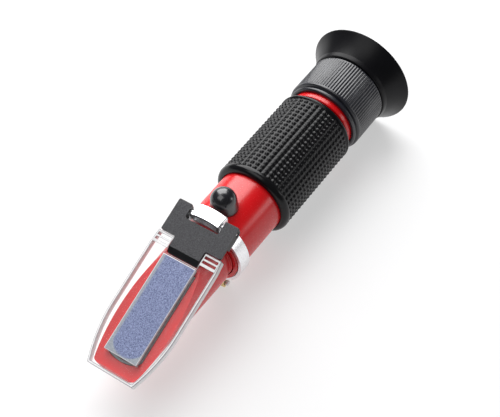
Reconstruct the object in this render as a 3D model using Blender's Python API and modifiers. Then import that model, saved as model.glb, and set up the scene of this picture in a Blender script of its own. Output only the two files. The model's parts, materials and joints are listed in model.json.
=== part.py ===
"""Hand-held refractometer with automatic temperature compensation.

The optical axis runs along X, with the prism at +X and the eyecup at -X.
Lengths below are millimetres from the optical axis and the middle of the
instrument; MM turns them into metres. The origin is under the middle of the
instrument, on the surface it rests on, and +Z is up.
"""
import math

import bmesh
import bpy
from mathutils import Matrix, Vector

MM = 0.001
NAME = "refractometer"

# Overall
AXIS_HEIGHT = 21.25
EYECUP_REAR = -80.0
GAP = 0.3
FIT = 0.2
SIDES = 48
INNER_SIDES = 24
SMALL_SIDES = 20

# Barrel
TUBE_R = 12.9
TUBE_BORE = 11.4
TUBE_FRONT = 24.0
TUBE_REAR = -48.0
INNER_R = TUBE_BORE - GAP
GRIP_R = 15.5
GRIP_REAR = -46.8
GRIP_FRONT = -3.1
GRIP_GROOVE_R = 15.0
GRIP_TAIL_R = 14.3
BEAD_R = 2.15
COLLAR_REAR = -52.4
COLLAR_FRONT = -40.0
COLLAR_R = 13.2
COLLAR_BORE = 9.6

# Sloped prism face and the cover that lies on it
SLOPE = math.radians(20.5)
PIN_X = 21.6
PIN_Z = 15.2
PIN_R = 0.65
LUG_R = 1.65
FACE_W = -0.76
BOX_REAR = 27.0
BOX_TIP = 77.8
BOX_R = 11.6
BOX_TIP_R = 10.9
NECK_R = 10.4
LIGHT_BORE = 9.2
THROAT_REAR = 30.0
THROAT_R = 6.2
PRISM_REAR = 20.5
PRISM_FRONT = 55.2
PRISM_HALF = 6.1
PRISM_NOSE = 2.4
PRISM_FLOOR = -6.8
SPIGOT_REAR = 16.5
LIGHT_FRONT = 42.0
SEAL_WIDTH = 0.85
SEAL_DEPTH = 1.05

# Cover plate, in the slope's own directions
PLATE_FRONT = (80.0 - PIN_X - 1.0 * math.sin(SLOPE)) / math.cos(SLOPE)
PLATE_HALF = 13.8
PLATE_TAPER_START = 40.0
PLATE_TAPER = 4.3
PLATE_WALL = 0.9
SHEET_LOW = 0.25
SHEET_TOP = 1.0
FLANGE_LOW = -1.6
PAD_REAR = 17.4
PAD_FRONT = 55.2
PAD_HALF = 6.8
PAD_LOW = -0.48
PAD_TOP = 1.25
EAR_REAR = 10.7
EAR_FRONT = 15.4
EAR_INNER = 6.7
EAR_TOP = 1.45
TAB_HALF = 5.6

# Hinge block
BLOCK_HALF = 12.5
BLOCK_REAR = -2.1
BLOCK_FRONT = 10.5
BLOCK_STEP = 6.2
BLOCK_UNDER = 0.3
TONGUE_HALF = 6.35
TONGUE_BEVEL = 14.4
TONGUE_FRONT = 16.6
NOTCH_HALF = 7.0
NOTCH_DEPTH = 3.55

# Clamp band
BAND_REAR = 18.2
BAND_FRONT = 23.4
BAND_IN = 13.2
BAND_OUT = 14.35
HUMP_HALF = 6.1
HUMP_R = 17.5
HUMP_WALL = 1.15
EAR_GAP = 1.2
EAR_OUT = 2.6
CLAMP_Z = -18.5
CLAMP_SCREW_R = 1.0
CLAMP_SCREW_HOLE = 1.25
CLAMP_HEAD_FACE = 2.9
CLAMP_HEAD_END = 6.0
CLAMP_HEAD_R = 2.1
CROSS_LONG = 1.3
CROSS_WIDE = 0.3
NUT_R = 2.3
NUT_END = 4.9
PIN_HALF = 12.2
PIN_HOLE = PIN_R + 0.25

# Calibration screw and its cap
SCREW_X = 12.0
BUSH_R = 3.0
BUSH_TOP = 16.4
BUSH_FOOT = 10.9
SCREW_HEAD_TOP = 16.0
SCREW_SLOT_LOW = 15.3
CAP_LOW = 11.0
CAP_CEILING = 17.2
CAP_SKIRT_TOP = 12.6
BALL_R = 0.6
BALL_Z = 10.5
CAP_R = 4.75
CAP_CENTRE_Z = 16.0
CAP_SKIRT_R = 5.1

# Lens arm
PIVOT_X = -14.0
PIVOT_Z = 8.0
ARM_TOP = 9.7
ARM_THICK = 0.8
ARM_HALF = 2.6
ARM_FRONT = 15.2
ARM_EYE_R = 1.7
ARM_BORE = 0.85
PIVOT_PIN_R = 0.6
STRIP_REAR = -11.0
STRIP_FRONT = 4.0
STRIP_HALF = 2.2
STRIP_LOW = 7.9
STRIP_TOP = 8.3
FOOT_FRONT = -8.0
FOOT_TOP = 9.0
OBJECTIVE_R = 6.1
CELL_R = 7.6
CELL_LENGTH = 8.0
BRACKET_REAR = -17.0
BRACKET_FRONT = -11.0
BRACKET_BORE = 9.6

# Spring under the arm
SPRING_X = 4.0
SPRING_LOW = -10.8
SPRING_HIGH = -8.15
SPRING_TURNS = 3.5
SPRING_R = 1.5
SPRING_WIRE = 0.18
SPRING_STEPS = 36

# Eyepiece
FOCUS_FRONT = -50.6
FOCUS_REAR = -69.6
FOCUS_R = 15.6
FOCUS_BEAD_R = 14.8
FOCUS_NECK_R = 12.6
FOCUS_SKIRT_R = 13.5
EYE_R = 7.2
LENS_R = 7.6
EYE_TUBE_R = 9.3
EYE_TUBE_BORE = 7.9

COLOURS = {
    "red_anodised": ((0.62, 0.015, 0.02), 0.28, 0.6),
    "black_rubber": ((0.012, 0.012, 0.013), 0.55, 0.0),
    "black_plastic": ((0.05, 0.05, 0.055), 0.5, 0.0),
    "polished_steel": ((0.8, 0.8, 0.82), 0.2, 1.0),
    "brass": ((0.7, 0.52, 0.22), 0.3, 1.0),
    "optical_glass": ((0.8, 0.87, 0.9), 0.05, 0.0),
    "clear_acrylic": ((0.86, 0.88, 0.9), 0.08, 0.0),
    "grey_sealant": ((0.35, 0.37, 0.38), 0.7, 0.0),
    "black_aluminium": ((0.02, 0.02, 0.022), 0.35, 0.8),
    "bimetal": ((0.6, 0.5, 0.42), 0.35, 1.0),
}


def clear_scene():
    for old in list(bpy.data.objects):
        bpy.data.objects.remove(old, do_unlink=True)


clear_scene()
PARTS = bpy.data.collections.new(NAME)
CUTTERS = bpy.data.collections.new("cutters")
bpy.context.scene.collection.children.link(PARTS)
bpy.context.scene.collection.children.link(CUTTERS)


def material(slot):
    found = bpy.data.materials.get(slot)
    if found:
        return found
    colour, roughness, metallic = COLOURS[slot]
    new = bpy.data.materials.new(slot)
    new.use_nodes = True
    shader = new.node_tree.nodes["Principled BSDF"]
    shader.inputs["Base Color"].default_value = (*colour, 1.0)
    shader.inputs["Roughness"].default_value = roughness
    shader.inputs["Metallic"].default_value = metallic
    return new


def add_object(name, mesh, slot=None):
    """Link a new object: a part when it has a material slot, else a cutter."""
    obj = bpy.data.objects.new(name, mesh)
    if slot:
        PARTS.objects.link(obj)
        mesh.materials.append(material(slot))
    else:
        CUTTERS.objects.link(obj)
        obj.hide_render = True
        obj.display_type = "WIRE"
    return obj


def boolean(obj, cutter, operation="DIFFERENCE"):
    modifier = obj.modifiers.new(operation.lower(), "BOOLEAN")
    modifier.operation = operation
    modifier.solver = "EXACT"
    modifier.object = cutter


def outward(profile):
    """Order (x, r) points so that the screwed surface faces outward."""
    area = 0.0
    for (x0, r0), (x1, r1) in zip(profile, profile[1:] + profile[:1]):
        area += x0 * r1 - x1 * r0
    return profile if area > 0 else profile[::-1]


ALONG_X = (0.0, math.radians(90), 0.0)
ALONG_Y = (math.radians(-90), 0.0, 0.0)
UPRIGHT = (0.0, 0.0, 0.0)


def turned(name, profile, slot=None, sides=SIDES, turn=ALONG_X, centre=(0.0, 0.0)):
    """Revolve (height, radius) points about an axis along X, along Y or upright.

    centre is the axis' place: (x, z) for an axis along X or Y, (x, y) upright.
    A profile with no point at radius 0 is a closed loop.
    """
    points = outward(profile)
    mesh = bpy.data.meshes.new(name)
    edges = [(i, i + 1) for i in range(len(points) - 1)]
    if all(r > 0 for _, r in points):
        edges.append((len(points) - 1, 0))
    mesh.from_pydata([(r * MM, 0.0, h * MM) for h, r in points], edges, [])
    obj = add_object(name, mesh, slot)
    obj.rotation_euler = turn
    along, across = centre
    if turn is UPRIGHT:
        obj.location = (along * MM, across * MM, AXIS_HEIGHT * MM)
    else:
        obj.location = (along * MM, 0.0, (AXIS_HEIGHT + across) * MM)
    screw = obj.modifiers.new("turn", "SCREW")
    screw.steps = sides
    screw.render_steps = sides
    screw.use_merge_vertices = True
    screw.merge_threshold = 0.000005
    screw.use_smooth_shade = True
    return obj


def ring(name, x0, x1, r_in, r_out, slot=None, sides=SIDES, **place):
    return turned(name, [(x0, r_in), (x0, r_out), (x1, r_out), (x1, r_in)], slot, sides, **place)


def rod(name, x0, x1, r, slot=None, sides=SMALL_SIDES, **place):
    return turned(name, [(x0, 0.0), (x0, r), (x1, r), (x1, 0.0)], slot, sides, **place)


def slab(name, outline, low, high, frame, slot=None):
    """Extrude a flat (a, b) outline from low to high, placed by a frame."""
    work = bmesh.new()
    verts = [work.verts.new((a * MM, b * MM, low * MM)) for a, b in outline]
    face = work.faces.new(verts)
    grown = bmesh.ops.extrude_face_region(work, geom=[face])
    moved = [item for item in grown["geom"] if isinstance(item, bmesh.types.BMVert)]
    bmesh.ops.translate(work, vec=(0.0, 0.0, (high - low) * MM), verts=moved)
    bmesh.ops.recalc_face_normals(work, faces=work.faces)
    mesh = bpy.data.meshes.new(name)
    work.to_mesh(mesh)
    work.free()
    obj = add_object(name, mesh, slot)
    obj.matrix_world = frame
    return obj


def block(name, lows, highs, slot=None, frame=None):
    """An axis-aligned box between two corners."""
    outline = rectangle(lows[0], highs[0], lows[1], highs[1])
    return slab(name, outline, lows[2], highs[2], frame or AXIS_FRAME, slot)


def rectangle(a0, a1, b0, b1):
    return [(a0, b0), (a1, b0), (a1, b1), (a0, b1)]


def arc(centre, radius, start, end, steps):
    """Points on an arc, angles in degrees from the first axis."""
    points = []
    for i in range(steps + 1):
        angle = math.radians(start + (end - start) * i / steps)
        points.append((centre[0] + radius * math.cos(angle), centre[1] + radius * math.sin(angle)))
    return points


AXIS_FRAME = Matrix.Translation(Vector((0.0, 0.0, AXIS_HEIGHT * MM)))
# Across the instrument: outline in (y, z), thickness along x
CROSS_FRAME = AXIS_FRAME @ Matrix(((0, 0, 1, 0), (1, 0, 0, 0), (0, 1, 0, 0), (0, 0, 0, 1)))
# Side view: outline in (x, z), thickness along y
SIDE_FRAME = AXIS_FRAME @ Matrix(((1, 0, 0, 0), (0, 0, -1, 0), (0, 1, 0, 0), (0, 0, 0, 1)))
# On the slope: u down the slope from the hinge pin, v across, w up from it
HINGE = Matrix.Translation(Vector((PIN_X * MM, 0.0, (AXIS_HEIGHT + PIN_Z) * MM)))
SLOPE_FRAME = HINGE @ Matrix.Rotation(SLOPE, 4, "Y")
# Side view of the slope: outline in (u, w), thickness along v
SLOPE_SIDE = SLOPE_FRAME @ Matrix(((1, 0, 0, 0), (0, 0, -1, 0), (0, 1, 0, 0), (0, 0, 0, 1)))


def build_barrel():
    tube = ring("main_tube", TUBE_REAR, TUBE_FRONT, TUBE_BORE, TUBE_R, "red_anodised")
    boolean(tube, rod("tube_screw_hole", 8.0, 16.0, BUSH_R + GAP, turn=UPRIGHT, centre=(SCREW_X, 0)))
    inside = TUBE_R + GAP
    grip = [(GRIP_REAR, inside), (GRIP_REAR, GRIP_TAIL_R), (GRIP_REAR + 0.8, 14.9), (GRIP_REAR + 1.4, GRIP_R)]
    grip += [(GRIP_FRONT - 3.0, GRIP_R), (GRIP_FRONT - 2.7, GRIP_GROOVE_R)]
    grip += arc((GRIP_FRONT - BEAD_R, GRIP_R - BEAD_R), BEAD_R, 90, 0, 5) + [(GRIP_FRONT, inside)]
    turned("rubber_grip", grip, "black_rubber")
    shoulder = TUBE_REAR - GAP
    collar = [(COLLAR_REAR, COLLAR_BORE), (COLLAR_REAR, COLLAR_R - 0.4), (COLLAR_REAR + 0.4, COLLAR_R)]
    collar += [(shoulder, COLLAR_R), (shoulder, INNER_R)]
    collar += [(COLLAR_FRONT, INNER_R), (COLLAR_FRONT, COLLAR_BORE)]
    turned("rear_collar", collar, "red_anodised")


def prism_outline(grow):
    """Straight sides and a gently rounded nose, grown outward all round."""
    half = PRISM_HALF + grow
    nose = PRISM_NOSE + grow
    middle = PRISM_FRONT + grow - nose
    points = [(PRISM_REAR - grow, -half), (middle, -half)]
    for i in range(1, 12):
        angle = math.radians(-90 + 15 * i)
        points.append((middle + nose * math.cos(angle), half * math.sin(angle)))
    points += [(middle, half), (PRISM_REAR - grow, half)]
    return points


def prism_wedge(name, grow, slot=None):
    """The prism's outline, square at the back and flat underneath."""
    body = slab(name, prism_outline(grow), -20.0, FACE_W + (0.0 if slot else 3.0), SLOPE_FRAME, slot)
    rear_x = PIN_X + (PRISM_REAR - grow) * math.cos(SLOPE) + FACE_W * math.sin(SLOPE)
    keep = block(name + "_limits", (rear_x, -12.0, PRISM_FLOOR - grow), (90.0, 12.0, 20.0))
    boolean(body, keep, "INTERSECT")
    return body


def build_prism_box():
    body = [(BOX_TIP, 0.0), (BOX_TIP, BOX_TIP_R - 0.6), (BOX_TIP - 0.6, BOX_TIP_R)]
    body += [(BOX_REAR + 0.3, BOX_R), (BOX_REAR, BOX_R - 0.3), (BOX_REAR, NECK_R)]
    body += [(TUBE_FRONT + 0.4, NECK_R), (TUBE_FRONT + 0.4, INNER_R), (SPIGOT_REAR, INNER_R)]
    body += [(SPIGOT_REAR, LIGHT_BORE), (THROAT_REAR, LIGHT_BORE), (THROAT_REAR, THROAT_R)]
    body += [(LIGHT_FRONT, THROAT_R), (LIGHT_FRONT, 0.0)]
    housing = turned("prism_box", body, "red_anodised")
    boolean(housing, slab("slope_cut", rectangle(-10.0, 75.0, -20.0, 20.0), FACE_W, 40.0, SLOPE_FRAME))
    boolean(housing, prism_wedge("prism_pocket", FIT))
    rim = prism_outline(SEAL_WIDTH + 2 * FIT)
    boolean(housing, slab("seal_pocket", rim, FACE_W - SEAL_DEPTH - FIT, 3.0, SLOPE_FRAME))
    prism_wedge("main_prism", 0.0, "optical_glass")
    seal_edge = prism_outline(SEAL_WIDTH + FIT)
    seal = slab("prism_seal", seal_edge, FACE_W - SEAL_DEPTH, FACE_W, SLOPE_FRAME, "grey_sealant")
    boolean(seal, slab("seal_hole", prism_outline(FIT), -10.0, 10.0, SLOPE_FRAME))


def angle_at(radius, y, top=True):
    """The angle at which a circle about the axis reaches a distance y across."""
    z = math.sqrt(radius * radius - y * y)
    return math.degrees(math.atan2(z if top else -z, y))


def build_clamp():
    foot_in = (EAR_GAP, -AXIS_HEIGHT)
    foot_out = (EAR_OUT, -AXIS_HEIGHT)
    top_corner = HUMP_HALF - 0.5
    inside = [foot_in] + arc((0.0, 0.0), BAND_IN, angle_at(BAND_IN, EAR_GAP, False), 90, 24)
    ear_angle = angle_at(BAND_OUT, EAR_OUT, False)
    outside = [foot_out] + arc((0.0, 0.0), BAND_OUT, ear_angle, angle_at(BAND_OUT, HUMP_HALF), 20)
    outside += [(HUMP_HALF, math.sqrt(HUMP_R ** 2 - HUMP_HALF ** 2) - 0.5)]
    outside += arc((0.0, 0.0), HUMP_R, angle_at(HUMP_R, top_corner), 90, 4)
    outline = outside + [(-y, z) for y, z in outside[-2::-1]]
    outline += [(-y, z) for y, z in inside[:-1]] + inside[::-1]
    band = slab("clamp_band", outline, BAND_REAR, BAND_FRONT, CROSS_FRAME, "polished_steel")
    room_half = HUMP_HALF - HUMP_WALL
    roof = HUMP_R - HUMP_WALL
    low_angle = angle_at(BAND_OUT, room_half)
    high_angle = angle_at(roof, room_half)
    room = arc((0.0, 0.0), BAND_OUT, 180 - low_angle, low_angle, 8)
    room += arc((0.0, 0.0), roof, high_angle, 180 - high_angle, 8)
    boolean(band, slab("hump_room", room, BAND_REAR - 1.0, BAND_FRONT + 1.0, CROSS_FRAME))
    middle = (BAND_REAR + BAND_FRONT) / 2
    across = {"turn": ALONG_Y, "centre": (middle, CLAMP_Z)}
    boolean(band, rod("band_pin_hole", -20.0, 20.0, PIN_HOLE, turn=ALONG_Y, centre=(PIN_X, PIN_Z)))
    boolean(band, rod("ear_screw_hole", -6.0, 6.0, CLAMP_SCREW_HOLE, **across))
    screw = [(-CLAMP_HEAD_END, 0.0), (-CLAMP_HEAD_END, 1.4), (-5.5, 1.9), (-4.6, CLAMP_HEAD_R)]
    screw += [(-CLAMP_HEAD_FACE, CLAMP_HEAD_R), (-CLAMP_HEAD_FACE, CLAMP_SCREW_R)]
    screw += [(CLAMP_HEAD_END, CLAMP_SCREW_R), (CLAMP_HEAD_END, 0.0)]
    head = turned("clamp_screw", screw, "polished_steel", SMALL_SIDES, **across)
    slots = (("level_slot", CROSS_LONG, CROSS_WIDE), ("upright_slot", CROSS_WIDE, CROSS_LONG))
    for name, long, wide in slots:
        lows = (middle - long, -7.0, CLAMP_Z - wide)
        highs = (middle + long, -5.0, CLAMP_Z + wide)
        boolean(head, block(name, lows, highs))
    hexagon = arc((middle, CLAMP_Z), NUT_R, 0, 300, 5)
    nut = slab("clamp_nut", hexagon, -NUT_END, -CLAMP_HEAD_FACE, SIDE_FRAME, "brass")
    boolean(nut, rod("nut_bore", -8.0, 8.0, CLAMP_SCREW_HOLE, **across))
    rod("hinge_pin", -PIN_HALF, PIN_HALF, PIN_R, "polished_steel", 16, turn=ALONG_Y, centre=(PIN_X, PIN_Z))


def plate_outline(inset, rear):
    """The cover's outline, drawn in towards the tip on a parabola."""
    front = PLATE_FRONT - inset
    points = []
    steps = 10
    for i in range(steps + 1):
        u = PLATE_TAPER_START + (front - PLATE_TAPER_START) * i / steps
        draw = ((u - PLATE_TAPER_START) / (PLATE_FRONT - PLATE_TAPER_START)) ** 2
        points.append((u, PLATE_HALF - inset - PLATE_TAPER * draw))
    half = [(rear, PLATE_HALF - inset - 0.5), (rear + 5.0, PLATE_HALF - inset)] + points
    return half + [(u, -v) for u, v in half[::-1]]


def build_cover():
    leaf = plate_outline(0.0, EAR_REAR)
    plate = slab("cover_plate", leaf, FLANGE_LOW, SHEET_TOP, SLOPE_FRAME, "clear_acrylic")
    boolean(plate, slab("tray", plate_outline(PLATE_WALL, EAR_REAR - 5.0), -6.0, SHEET_LOW, SLOPE_FRAME))
    room = rectangle(0.0, TONGUE_FRONT + 0.3, -TONGUE_HALF - 0.3, TONGUE_HALF + 0.3)
    boolean(plate, slab("tongue_room", room, -3.0, 3.0, SLOPE_FRAME))
    pad = rectangle(PAD_REAR, PAD_FRONT, -PAD_HALF, PAD_HALF)
    boolean(plate, slab("pad", pad, PAD_LOW, PAD_TOP, SLOPE_FRAME), "UNION")
    tab = rectangle(BLOCK_STEP + 1.0, PAD_REAR + 1.0, -TAB_HALF, TAB_HALF)
    boolean(plate, slab("tab", tab, PAD_LOW + 0.02, BLOCK_UNDER - FIT, SLOPE_FRAME), "UNION")
    for side in (-1, 1):
        edges = sorted((side * EAR_INNER, side * (PLATE_HALF - 0.7)))
        ear = rectangle(EAR_REAR + 0.1, EAR_FRONT, *edges)
        boolean(plate, slab("cover_ear", ear, SHEET_LOW - 0.3, EAR_TOP, SLOPE_FRAME), "UNION")

    outline = [(BLOCK_REAR, BLOCK_HALF), (BLOCK_FRONT, BLOCK_HALF), (BLOCK_FRONT, TONGUE_HALF)]
    outline += [(TONGUE_FRONT, TONGUE_HALF), (TONGUE_FRONT, -TONGUE_HALF), (BLOCK_FRONT, -TONGUE_HALF)]
    outline += [(BLOCK_FRONT, -BLOCK_HALF), (BLOCK_REAR, -BLOCK_HALF), (BLOCK_REAR, -NOTCH_HALF)]
    outline += [(NOTCH_DEPTH, -NOTCH_HALF), (NOTCH_DEPTH, NOTCH_HALF), (BLOCK_REAR, NOTCH_HALF)]
    hinge = slab("hinge_block", outline, -LUG_R - 1.0, LUG_R, SLOPE_FRAME, "black_plastic")
    side = arc((0.0, 0.0), LUG_R, 270, 180, 6)
    side += [(BLOCK_REAR, LUG_R - 0.9), (BLOCK_REAR, LUG_R - 0.35), (BLOCK_REAR + 0.35, LUG_R)]
    side += [(TONGUE_BEVEL, LUG_R), (TONGUE_FRONT, BLOCK_UNDER)]
    side += [(BLOCK_STEP, BLOCK_UNDER), (BLOCK_STEP, -LUG_R)]
    boolean(hinge, slab("block_side", side, -BLOCK_HALF - 1.0, BLOCK_HALF + 1.0, SLOPE_SIDE), "INTERSECT")
    boolean(hinge, rod("lug_bore", -20.0, 20.0, PIN_HOLE, turn=ALONG_Y, centre=(PIN_X, PIN_Z)))


def build_calibration():
    place = {"turn": UPRIGHT, "centre": (SCREW_X, 0.0), "sides": SMALL_SIDES}
    bush = [(BUSH_FOOT, 1.35), (BUSH_FOOT, BUSH_R), (BUSH_TOP, BUSH_R)]
    bush += [(BUSH_TOP, 2.2), (14.0, 2.2), (14.0, 1.35)]
    turned("screw_bushing", bush, "brass", **place)
    screw = [(11.3, 0.0), (11.3, 0.9), (11.6, 1.1), (14.6, 1.1), (14.6, 1.9)]
    screw += [(SCREW_HEAD_TOP, 1.9), (SCREW_HEAD_TOP, 0.0)]
    driven = turned("calibration_screw", screw, "brass", **place)
    slot_end = (SCREW_X + 3.0, 0.3, SCREW_HEAD_TOP + 1.0)
    boolean(driven, block("screw_slot", (SCREW_X - 3.0, -0.3, SCREW_SLOT_LOW), slot_end))
    ball = [(BALL_Z + b, a) for a, b in arc((0.0, 0.0), BALL_R, -90, 90, 6)]
    ball[0] = (BALL_Z - BALL_R, 0.0)
    ball[-1] = (BALL_Z + BALL_R, 0.0)
    turned("thrust_ball", ball, "polished_steel", 12, UPRIGHT, (SCREW_X, 0.0))
    dome = [(CAP_CENTRE_Z + b, a) for a, b in arc((0.0, 0.0), CAP_R, 0, 90, 9)]
    dome[-1] = (CAP_CENTRE_Z + CAP_R, 0.0)
    shape = [(CAP_CEILING, 0.0), (CAP_CEILING, BUSH_R + GAP), (CAP_LOW, BUSH_R + GAP), (CAP_LOW, CAP_SKIRT_R)]
    shape += [(CAP_SKIRT_TOP, CAP_SKIRT_R)]
    cap = turned("screw_cap", shape + dome, "black_rubber", 32, UPRIGHT, (SCREW_X, 0.0))
    boolean(cap, rod("saddle", -5.0, 30.0, TUBE_R + GAP, sides=64))


def lens(name, x0, x1, radius, rear_bulge, front_bulge):
    """A lens with edges at x0 and x1; a positive bulge swells outward."""
    steps = 4
    front = [(x1 + front_bulge * (1 - (i / steps) ** 2), radius * i / steps) for i in range(steps + 1)]
    rear = [(x0 - rear_bulge * (1 - (i / steps) ** 2), radius * i / steps) for i in range(steps, -1, -1)]
    return turned(name, front + rear, "optical_glass", INNER_SIDES)


def build_lens_arm():
    pivot = bpy.data.objects.new("arm_pivot_axis", None)
    PARTS.objects.link(pivot)
    pivot.location = (PIVOT_X * MM, 0.0, (AXIS_HEIGHT + PIVOT_Z) * MM)
    across = {"turn": ALONG_Y, "centre": (PIVOT_X, PIVOT_Z)}
    arm_start = (PIVOT_X, -ARM_HALF, ARM_TOP - ARM_THICK)
    arm = block("lens_arm", arm_start, (ARM_FRONT, ARM_HALF, ARM_TOP), "brass")
    boolean(arm, rod("arm_eye", -ARM_HALF + 0.01, ARM_HALF - 0.01, ARM_EYE_R, **across), "UNION")
    foot_start = (STRIP_REAR, -STRIP_HALF, STRIP_TOP + FIT)
    boolean(arm, block("arm_foot", foot_start, (FOOT_FRONT, STRIP_HALF, FOOT_TOP)), "UNION")
    boolean(arm, rod("arm_bore", -5.0, 5.0, ARM_BORE, **across))
    strip_start = (STRIP_REAR, -STRIP_HALF, STRIP_LOW)
    strip = block("bimetal_strip", strip_start, (STRIP_FRONT, STRIP_HALF, STRIP_TOP), "bimetal")
    seat = OBJECTIVE_R + GAP
    cell = [(0.0, 5.4), (0.0, CELL_R), (CELL_LENGTH, CELL_R), (CELL_LENGTH, seat), (1.2, seat), (1.2, 5.4)]
    held = [arm, strip, turned("objective_cell", cell, "black_aluminium", INNER_SIDES)]
    held.append(lens("objective_flint", 1.4, 3.6, OBJECTIVE_R, 0.0, -0.8))
    held.append(lens("objective_crown", 3.9, 5.6, OBJECTIVE_R, 0.8, 1.0))
    held.append(ring("objective_retainer", 6.1, 7.4, 5.2, OBJECTIVE_R, "black_aluminium", INNER_SIDES))
    for piece in held:
        piece.parent = pivot
        piece.matrix_parent_inverse = Matrix.Translation(-pivot.location)

    bracket = ring("pivot_bracket", BRACKET_REAR, BRACKET_FRONT, BRACKET_BORE, INNER_R, "black_aluminium",
                   INNER_SIDES)
    boolean(bracket, block("arm_slot", (-20.0, -3.3, 5.0), (-8.0, 3.3, 15.0)))
    boolean(bracket, rod("bracket_bore", -12.0, 12.0, ARM_BORE, **across))
    rod("arm_pivot_pin", -6.9, 6.9, PIVOT_PIN_R, "polished_steel", 16, **across)
    arm_spring()


def arm_spring():
    """A small compression spring that holds the arm up against its screw."""
    curve = bpy.data.curves.new("arm_spring", "CURVE")
    curve.dimensions = "3D"
    curve.bevel_depth = SPRING_WIRE * MM
    curve.bevel_resolution = 2
    curve.use_fill_caps = True
    spline = curve.splines.new("POLY")
    spline.points.add(SPRING_STEPS)
    for i in range(SPRING_STEPS + 1):
        angle = 2 * math.pi * SPRING_TURNS * i / SPRING_STEPS
        height = SPRING_LOW + (SPRING_HIGH - SPRING_LOW) * i / SPRING_STEPS
        place = (SPRING_R * math.cos(angle) * MM, SPRING_R * math.sin(angle) * MM, height * MM, 1.0)
        spline.points[i].co = place
    spring = add_object("arm_spring", curve, "polished_steel")
    spring.location = (SPRING_X * MM, 0.0, AXIS_HEIGHT * MM)


def build_reticle():
    cell = [(-36.0, 7.5), (-36.0, INNER_R), (-30.0, INNER_R), (-30.0, 9.0), (-35.0, 9.0), (-35.0, 7.5)]
    turned("reticle_cell", cell, "black_aluminium", INNER_SIDES)
    rod("reticle_glass", -34.7, -33.2, 8.7, "optical_glass", INNER_SIDES)
    ring("reticle_retainer", -32.9, -31.2, 7.8, 8.7, "black_aluminium", INNER_SIDES)
    baffle = [(-24.0, 10.3), (-24.0, INNER_R), (-21.0, INNER_R), (-21.0, 6.0), (-21.8, 6.0), (-21.8, 10.3)]
    turned("light_baffle", baffle, "black_aluminium", INNER_SIDES)


def build_eyepiece():
    tube = [(-65.7, 6.9), (-65.7, EYE_TUBE_R), (-42.0, EYE_TUBE_R), (-42.0, EYE_TUBE_BORE)]
    tube += [(-64.7, EYE_TUBE_BORE), (-64.7, 6.9)]
    turned("eyepiece_tube", tube, "black_aluminium", INNER_SIDES)
    lens("eye_lens", -64.4, -62.4, LENS_R, 0.9, 0.9)
    ring("lens_spacer", -61.9, -50.6, 6.7, LENS_R, "black_aluminium", INNER_SIDES)
    lens("field_lens", -50.1, -48.3, LENS_R, 0.8, 0.0)
    ring("eyepiece_retainer", -47.9, -46.2, 6.5, LENS_R, "black_aluminium", INNER_SIDES)

    bore = EYE_TUBE_R + GAP
    focus = [(FOCUS_FRONT, FOCUS_SKIRT_R), (FOCUS_FRONT, 14.0), (-51.0, 14.6), (-51.8, FOCUS_BEAD_R)]
    focus += [(-52.5, 14.5), (-52.8, 15.1), (-53.3, 15.55), (-68.8, FOCUS_R), (FOCUS_REAR, FOCUS_R - 0.4)]
    focus += [(FOCUS_REAR, FOCUS_NECK_R), (-73.0, FOCUS_NECK_R), (-73.0, EYE_R), (-66.0, EYE_R)]
    focus += [(-66.0, bore), (-56.0, bore), (-56.0, FOCUS_SKIRT_R)]
    turned("focus_ring", focus, "black_plastic")
    cup = [(-69.9, 12.9), (-69.9, 15.6), (-70.3, 16.0), (-71.6, 16.2), (-74.0, 17.3), (-77.0, 19.1)]
    cup += [(-79.5, 21.0), (-79.8, AXIS_HEIGHT), (EYECUP_REAR, 21.0), (EYECUP_REAR, 20.7), (-79.4, 20.0)]
    cup += [(-76.5, 17.2), (-75.0, 15.0), (-74.3, 12.0), (-74.3, 8.2), (-73.3, 8.2), (-73.3, 12.9)]
    turned("eyecup", cup, "black_rubber")


build_barrel()
build_prism_box()
build_clamp()
build_cover()
build_calibration()
build_lens_arm()
build_reticle()
build_eyepiece()
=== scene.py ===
"""Looks of the hand-held refractometer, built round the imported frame.

Lengths are millimetres from the optical axis, as in the part itself; MM turns
them into metres and AXIS_HEIGHT lifts the axis above the floor.
"""
import json
import math

import bmesh
import bpy
from mathutils import Matrix, Vector


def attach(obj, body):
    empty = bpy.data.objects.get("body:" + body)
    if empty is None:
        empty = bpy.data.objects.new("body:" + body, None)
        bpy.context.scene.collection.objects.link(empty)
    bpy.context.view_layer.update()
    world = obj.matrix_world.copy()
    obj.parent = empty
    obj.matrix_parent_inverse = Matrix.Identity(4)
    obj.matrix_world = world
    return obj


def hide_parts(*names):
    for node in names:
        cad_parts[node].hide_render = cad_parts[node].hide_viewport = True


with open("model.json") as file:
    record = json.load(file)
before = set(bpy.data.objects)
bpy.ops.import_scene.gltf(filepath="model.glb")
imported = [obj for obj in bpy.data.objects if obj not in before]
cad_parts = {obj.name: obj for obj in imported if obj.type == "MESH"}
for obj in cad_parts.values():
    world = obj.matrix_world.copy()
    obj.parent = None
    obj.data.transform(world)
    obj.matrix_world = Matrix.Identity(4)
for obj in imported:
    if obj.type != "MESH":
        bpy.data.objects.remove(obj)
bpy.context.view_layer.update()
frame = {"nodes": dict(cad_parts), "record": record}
NODES = frame["nodes"]
SLOT_OF = {part["node"]: part["material_slot"] for part in frame["record"]["subparts"]}

MM = 0.001
AXIS_HEIGHT = 21.25
GAP = 0.3
FIT = 0.2
TINY = 0.02
BEYOND = 20.0

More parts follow.
